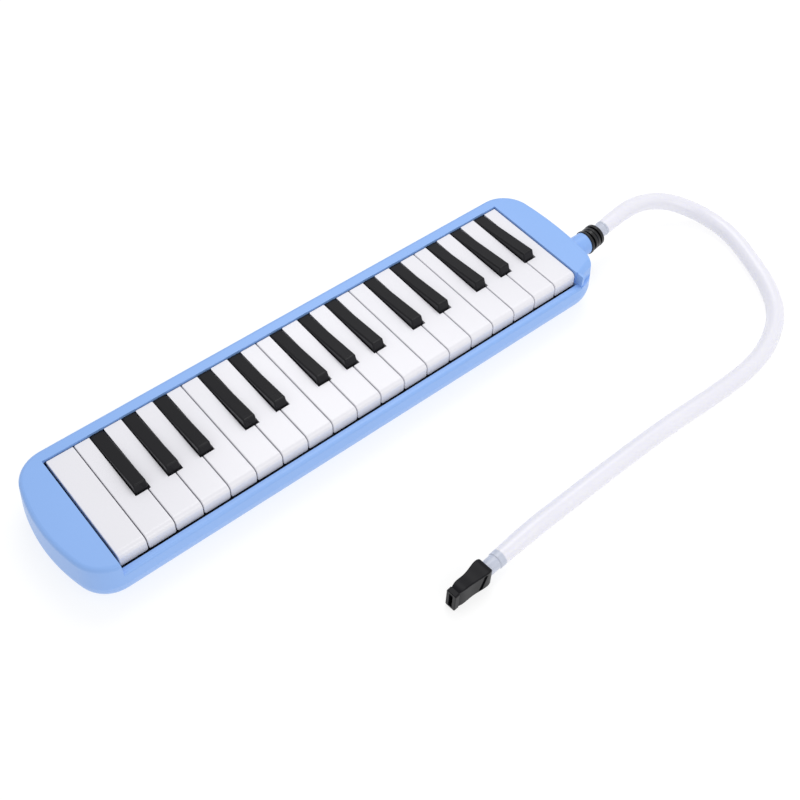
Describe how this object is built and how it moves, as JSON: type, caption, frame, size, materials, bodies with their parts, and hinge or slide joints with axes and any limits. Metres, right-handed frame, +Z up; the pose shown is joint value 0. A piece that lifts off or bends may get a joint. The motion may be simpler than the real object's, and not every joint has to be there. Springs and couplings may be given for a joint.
{
  "type": "melodica",
  "caption": "Blown keyboard of free reeds: blue two-part case, hinged white and black keys with pad valves, drain button, clear hose and a black mouthpiece.",
  "frame": {"origin": "middle of the underside of the instrument's box, without its hose", "axes": "+X along the keyboard towards the blow socket, +Y from the key fronts to the rear, +Z up"},
  "size_m": [0.5661, 0.2365, 0.0429],
  "materials": {
    "case_blue": "satin",
    "case_lower_blue": "satin",
    "screw_steel": "satin",
    "felt": "matte",
    "socket_blue": "satin",
    "seal_rubber": "matte",
    "tray_plastic": "matte",
    "reed_plate_metal": "satin",
    "reed_brass": "satin",
    "spring_bronze": "satin",
    "comb_plastic": "matte",
    "rod_steel": "polished",
    "white_key": "gloss",
    "black_key": "satin",
    "plug_rubber": "matte",
    "clear_plastic": "gloss",
    "hose_soft": "satin",
    "mouthpiece_black": "satin"
  },
  "bodies": {
    "melodica": {"upper_case": "case_blue", "lower_case": "case_lower_blue", "case_screws": "screw_steel", "chamber_screws": "screw_steel", "white_stop_felt": "felt", "black_stop_felt": "felt", "blow_socket": "socket_blue", "socket_seal": "seal_rubber", "wind_tray": "tray_plastic", "reed_plate": "reed_plate_metal", "reeds": "reed_brass", "reed_rivets": "reed_brass", "valve_board": "tray_plastic", "key_comb": "comb_plastic", "key_rod": "rod_steel", "key_springs": "spring_bronze", "board_screws": "screw_steel", "drain_spring": "screw_steel", "hose_plug": "plug_rubber", "hose_adapter": "clear_plastic", "blow_hose": "hose_soft", "mouthpiece_neck": "clear_plastic", "mouthpiece": "mouthpiece_black"},
    "drain_valve": {"drain_button": "tray_plastic", "drain_seal": "seal_rubber"},
    "white_key_01": {"white_key_01": "white_key"},
    "white_key_02": {"white_key_02": "white_key"},
    "white_key_03": {"white_key_03": "white_key"},
    "white_key_04": {"white_key_04": "white_key"},
    "white_key_05": {"white_key_05": "white_key"},
    "white_key_06": {"white_key_06": "white_key"},
    "white_key_07": {"white_key_07": "white_key"},
    "white_key_08": {"white_key_08": "white_key"},
    "white_key_09": {"white_key_09": "white_key"},
    "white_key_10": {"white_key_10": "white_key"},
    "white_key_11": {"white_key_11": "white_key"},
    "white_key_12": {"white_key_12": "white_key"},
    "white_key_13": {"white_key_13": "white_key"},
    "white_key_14": {"white_key_14": "white_key"},
    "white_key_15": {"white_key_15": "white_key"},
    "white_key_16": {"white_key_16": "white_key"},
    "white_key_17": {"white_key_17": "white_key"},
    "white_key_18": {"white_key_18": "white_key"},
    "white_key_19": {"white_key_19": "white_key"},
    "black_key_01": {"black_key_01": "black_key"},
    "black_key_02": {"black_key_02": "black_key"},
    "black_key_03": {"black_key_03": "black_key"},
    "black_key_04": {"black_key_04": "black_key"},
    "black_key_05": {"black_key_05": "black_key"},
    "black_key_06": {"black_key_06": "black_key"},
    "black_key_07": {"black_key_07": "black_key"},
    "black_key_08": {"black_key_08": "black_key"},
    "black_key_09": {"black_key_09": "black_key"},
    "black_key_10": {"black_key_10": "black_key"},
    "black_key_11": {"black_key_11": "black_key"},
    "black_key_12": {"black_key_12": "black_key"},
    "black_key_13": {"black_key_13": "black_key"}
  },
  "joints": [
    {"name": "white_key_01_pivot", "type": "hinge", "parent": "melodica", "child": "white_key_01", "pos_m": [-0.1846, 0.022, 0.0265], "axis": [1, 0, 0], "range_deg": [0, 3.8], "stiffness_Nm_per_rad": 0.25, "springref_deg": -5.73, "deforming": ["key_springs"]},
    {"name": "white_key_02_pivot", "type": "hinge", "parent": "melodica", "child": "white_key_02", "pos_m": [-0.16895, 0.022, 0.0265], "axis": [1, 0, 0], "range_deg": [0, 3.8], "stiffness_Nm_per_rad": 0.25, "springref_deg": -5.73, "deforming": ["key_springs"]},
    {"name": "white_key_03_pivot", "type": "hinge", "parent": "melodica", "child": "white_key_03", "pos_m": [-0.14635, 0.022, 0.0265], "axis": [1, 0, 0], "range_deg": [0, 3.8], "stiffness_Nm_per_rad": 0.25, "springref_deg": -5.73, "deforming": ["key_springs"]},
    {"name": "white_key_04_pivot", "type": "hinge", "parent": "melodica", "child": "white_key_04", "pos_m": [-0.12285, 0.022, 0.0265], "axis": [1, 0, 0], "range_deg": [0, 3.8], "stiffness_Nm_per_rad": 0.25, "springref_deg": -5.73, "deforming": ["key_springs"]},
    {"name": "white_key_05_pivot", "type": "hinge", "parent": "melodica", "child": "white_key_05", "pos_m": [-0.10025, 0.022, 0.0265], "axis": [1, 0, 0], "range_deg": [0, 3.8], "stiffness_Nm_per_rad": 0.25, "springref_deg": -5.73, "deforming": ["key_springs"]},
    {"name": "white_key_06_pivot", "type": "hinge", "parent": "melodica", "child": "white_key_06", "pos_m": [-0.0882, 0.022, 0.0265], "axis": [1, 0, 0], "range_deg": [0, 3.8], "stiffness_Nm_per_rad": 0.25, "springref_deg": -5.73, "deforming": ["key_springs"]},
    {"name": "white_key_07_pivot", "type": "hinge", "parent": "melodica", "child": "white_key_07", "pos_m": [-0.0646, 0.022, 0.0265], "axis": [1, 0, 0], "range_deg": [0, 3.8], "stiffness_Nm_per_rad": 0.25, "springref_deg": -5.73, "deforming": ["key_springs"]},
    {"name": "white_key_08_pivot", "type": "hinge", "parent": "melodica", "child": "white_key_08", "pos_m": [-0.041, 0.022, 0.0265], "axis": [1, 0, 0], "range_deg": [0, 3.8], "stiffness_Nm_per_rad": 0.25, "springref_deg": -5.73, "deforming": ["key_springs"]},
    {"name": "white_key_09_pivot", "type": "hinge", "parent": "melodica", "child": "white_key_09", "pos_m": [-0.02895, 0.022, 0.0265], "axis": [1, 0, 0], "range_deg": [0, 3.8], "stiffness_Nm_per_rad": 0.25, "springref_deg": -5.73, "deforming": ["key_springs"]},
    {"name": "white_key_10_pivot", "type": "hinge", "parent": "melodica", "child": "white_key_10", "pos_m": [-0.00635, 0.022, 0.0265], "axis": [1, 0, 0], "range_deg": [0, 3.8], "stiffness_Nm_per_rad": 0.25, "springref_deg": -5.73, "deforming": ["key_springs"]},
    {"name": "white_key_11_pivot", "type": "hinge", "parent": "melodica", "child": "white_key_11", "pos_m": [0.01715, 0.022, 0.0265], "axis": [1, 0, 0], "range_deg": [0, 3.8], "stiffness_Nm_per_rad": 0.25, "springref_deg": -5.73, "deforming": ["key_springs"]},
    {"name": "white_key_12_pivot", "type": "hinge", "parent": "melodica", "child": "white_key_12", "pos_m": [0.03975, 0.022, 0.0265], "axis": [1, 0, 0], "range_deg": [0, 3.8], "stiffness_Nm_per_rad": 0.25, "springref_deg": -5.73, "deforming": ["key_springs"]},
    {"name": "white_key_13_pivot", "type": "hinge", "parent": "melodica", "child": "white_key_13", "pos_m": [0.0518, 0.022, 0.0265], "axis": [1, 0, 0], "range_deg": [0, 3.8], "stiffness_Nm_per_rad": 0.25, "springref_deg": -5.73, "deforming": ["key_springs"]},
    {"name": "white_key_14_pivot", "type": "hinge", "parent": "melodica", "child": "white_key_14", "pos_m": [0.0754, 0.022, 0.0265], "axis": [1, 0, 0], "range_deg": [0, 3.8], "stiffness_Nm_per_rad": 0.25, "springref_deg": -5.73, "deforming": ["key_springs"]},
    {"name": "white_key_15_pivot", "type": "hinge", "parent": "melodica", "child": "white_key_15", "pos_m": [0.099, 0.022, 0.0265], "axis": [1, 0, 0], "range_deg": [0, 3.8], "stiffness_Nm_per_rad": 0.25, "springref_deg": -5.73, "deforming": ["key_springs"]},
    {"name": "white_key_16_pivot", "type": "hinge", "parent": "melodica", "child": "white_key_16", "pos_m": [0.11105, 0.022, 0.0265], "axis": [1, 0, 0], "range_deg": [0, 3.8], "stiffness_Nm_per_rad": 0.25, "springref_deg": -5.73, "deforming": ["key_springs"]},
    {"name": "white_key_17_pivot", "type": "hinge", "parent": "melodica", "child": "white_key_17", "pos_m": [0.13365, 0.022, 0.0265], "axis": [1, 0, 0], "range_deg": [0, 3.8], "stiffness_Nm_per_rad": 0.25, "springref_deg": -5.73, "deforming": ["key_springs"]},
    {"name": "white_key_18_pivot", "type": "hinge", "parent": "melodica", "child": "white_key_18", "pos_m": [0.15715, 0.022, 0.0265], "axis": [1, 0, 0], "range_deg": [0, 3.8], "stiffness_Nm_per_rad": 0.25, "springref_deg": -5.73, "deforming": ["key_springs"]},
    {"name": "white_key_19_pivot", "type": "hinge", "parent": "melodica", "child": "white_key_19", "pos_m": [0.17975, 0.022, 0.0265], "axis": [1, 0, 0], "range_deg": [0, 3.8], "stiffness_Nm_per_rad": 0.25, "springref_deg": -5.73, "deforming": ["key_springs"]},
    {"name": "black_key_01_pivot", "type": "hinge", "parent": "melodica", "child": "black_key_01", "pos_m": [-0.1581, 0.022, 0.0265], "axis": [1, 0, 0], "range_deg": [0, 4.4], "stiffness_Nm_per_rad": 0.25, "springref_deg": -5.73, "deforming": ["key_springs"]},
    {"name": "black_key_02_pivot", "type": "hinge", "parent": "melodica", "child": "black_key_02", "pos_m": [-0.1346, 0.022, 0.0265], "axis": [1, 0, 0], "range_deg": [0, 4.4], "stiffness_Nm_per_rad": 0.25, "springref_deg": -5.73, "deforming": ["key_springs"]},
    {"name": "black_key_03_pivot", "type": "hinge", "parent": "melodica", "child": "black_key_03", "pos_m": [-0.1111, 0.022, 0.0265], "axis": [1, 0, 0], "range_deg": [0, 4.4], "stiffness_Nm_per_rad": 0.25, "springref_deg": -5.73, "deforming": ["key_springs"]},
    {"name": "black_key_04_pivot", "type": "hinge", "parent": "melodica", "child": "black_key_04", "pos_m": [-0.0766, 0.022, 0.0265], "axis": [1, 0, 0], "range_deg": [0, 4.4], "stiffness_Nm_per_rad": 0.25, "springref_deg": -5.73, "deforming": ["key_springs"]},
    {"name": "black_key_05_pivot", "type": "hinge", "parent": "melodica", "child": "black_key_05", "pos_m": [-0.0526, 0.022, 0.0265], "axis": [1, 0, 0], "range_deg": [0, 4.4], "stiffness_Nm_per_rad": 0.25, "springref_deg": -5.73, "deforming": ["key_springs"]},
    {"name": "black_key_06_pivot", "type": "hinge", "parent": "melodica", "child": "black_key_06", "pos_m": [-0.0181, 0.022, 0.0265], "axis": [1, 0, 0], "range_deg": [0, 4.4], "stiffness_Nm_per_rad": 0.25, "springref_deg": -5.73, "deforming": ["key_springs"]},
    {"name": "black_key_07_pivot", "type": "hinge", "parent": "melodica", "child": "black_key_07", "pos_m": [0.0054, 0.022, 0.0265], "axis": [1, 0, 0], "range_deg": [0, 4.4], "stiffness_Nm_per_rad": 0.25, "springref_deg": -5.73, "deforming": ["key_springs"]},
    {"name": "black_key_08_pivot", "type": "hinge", "parent": "melodica", "child": "black_key_08", "pos_m": [0.0289, 0.022, 0.0265], "axis": [1, 0, 0], "range_deg": [0, 4.4], "stiffness_Nm_per_rad": 0.25, "springref_deg": -5.73, "deforming": ["key_springs"]},
    {"name": "black_key_09_pivot", "type": "hinge", "parent": "melodica", "child": "black_key_09", "pos_m": [0.0634, 0.022, 0.0265], "axis": [1, 0, 0], "range_deg": [0, 4.4], "stiffness_Nm_per_rad": 0.25, "springref_deg": -5.73, "deforming": ["key_springs"]},
    {"name": "black_key_10_pivot", "type": "hinge", "parent": "melodica", "child": "black_key_10", "pos_m": [0.0874, 0.022, 0.0265], "axis": [1, 0, 0], "range_deg": [0, 4.4], "stiffness_Nm_per_rad": 0.25, "springref_deg": -5.73, "deforming": ["key_springs"]},
    {"name": "black_key_11_pivot", "type": "hinge", "parent": "melodica", "child": "black_key_11", "pos_m": [0.1219, 0.022, 0.0265], "axis": [1, 0, 0], "range_deg": [0, 4.4], "stiffness_Nm_per_rad": 0.25, "springref_deg": -5.73, "deforming": ["key_springs"]},
    {"name": "black_key_12_pivot", "type": "hinge", "parent": "melodica", "child": "black_key_12", "pos_m": [0.1454, 0.022, 0.0265], "axis": [1, 0, 0], "range_deg": [0, 4.4], "stiffness_Nm_per_rad": 0.25, "springref_deg": -5.73, "deforming": ["key_springs"]},
    {"name": "black_key_13_pivot", "type": "hinge", "parent": "melodica", "child": "black_key_13", "pos_m": [0.1689, 0.022, 0.0265], "axis": [1, 0, 0], "range_deg": [0, 4.4], "stiffness_Nm_per_rad": 0.25, "springref_deg": -5.73, "deforming": ["key_springs"]},
    {"name": "drain_valve_slide", "type": "slide", "parent": "melodica", "child": "drain_valve", "axis": [0, 0, 1], "range_m": [0, 0.002], "stiffness_N_per_m": 400, "springref_m": -0.003, "deforming": ["drain_spring"]}
  ]
}
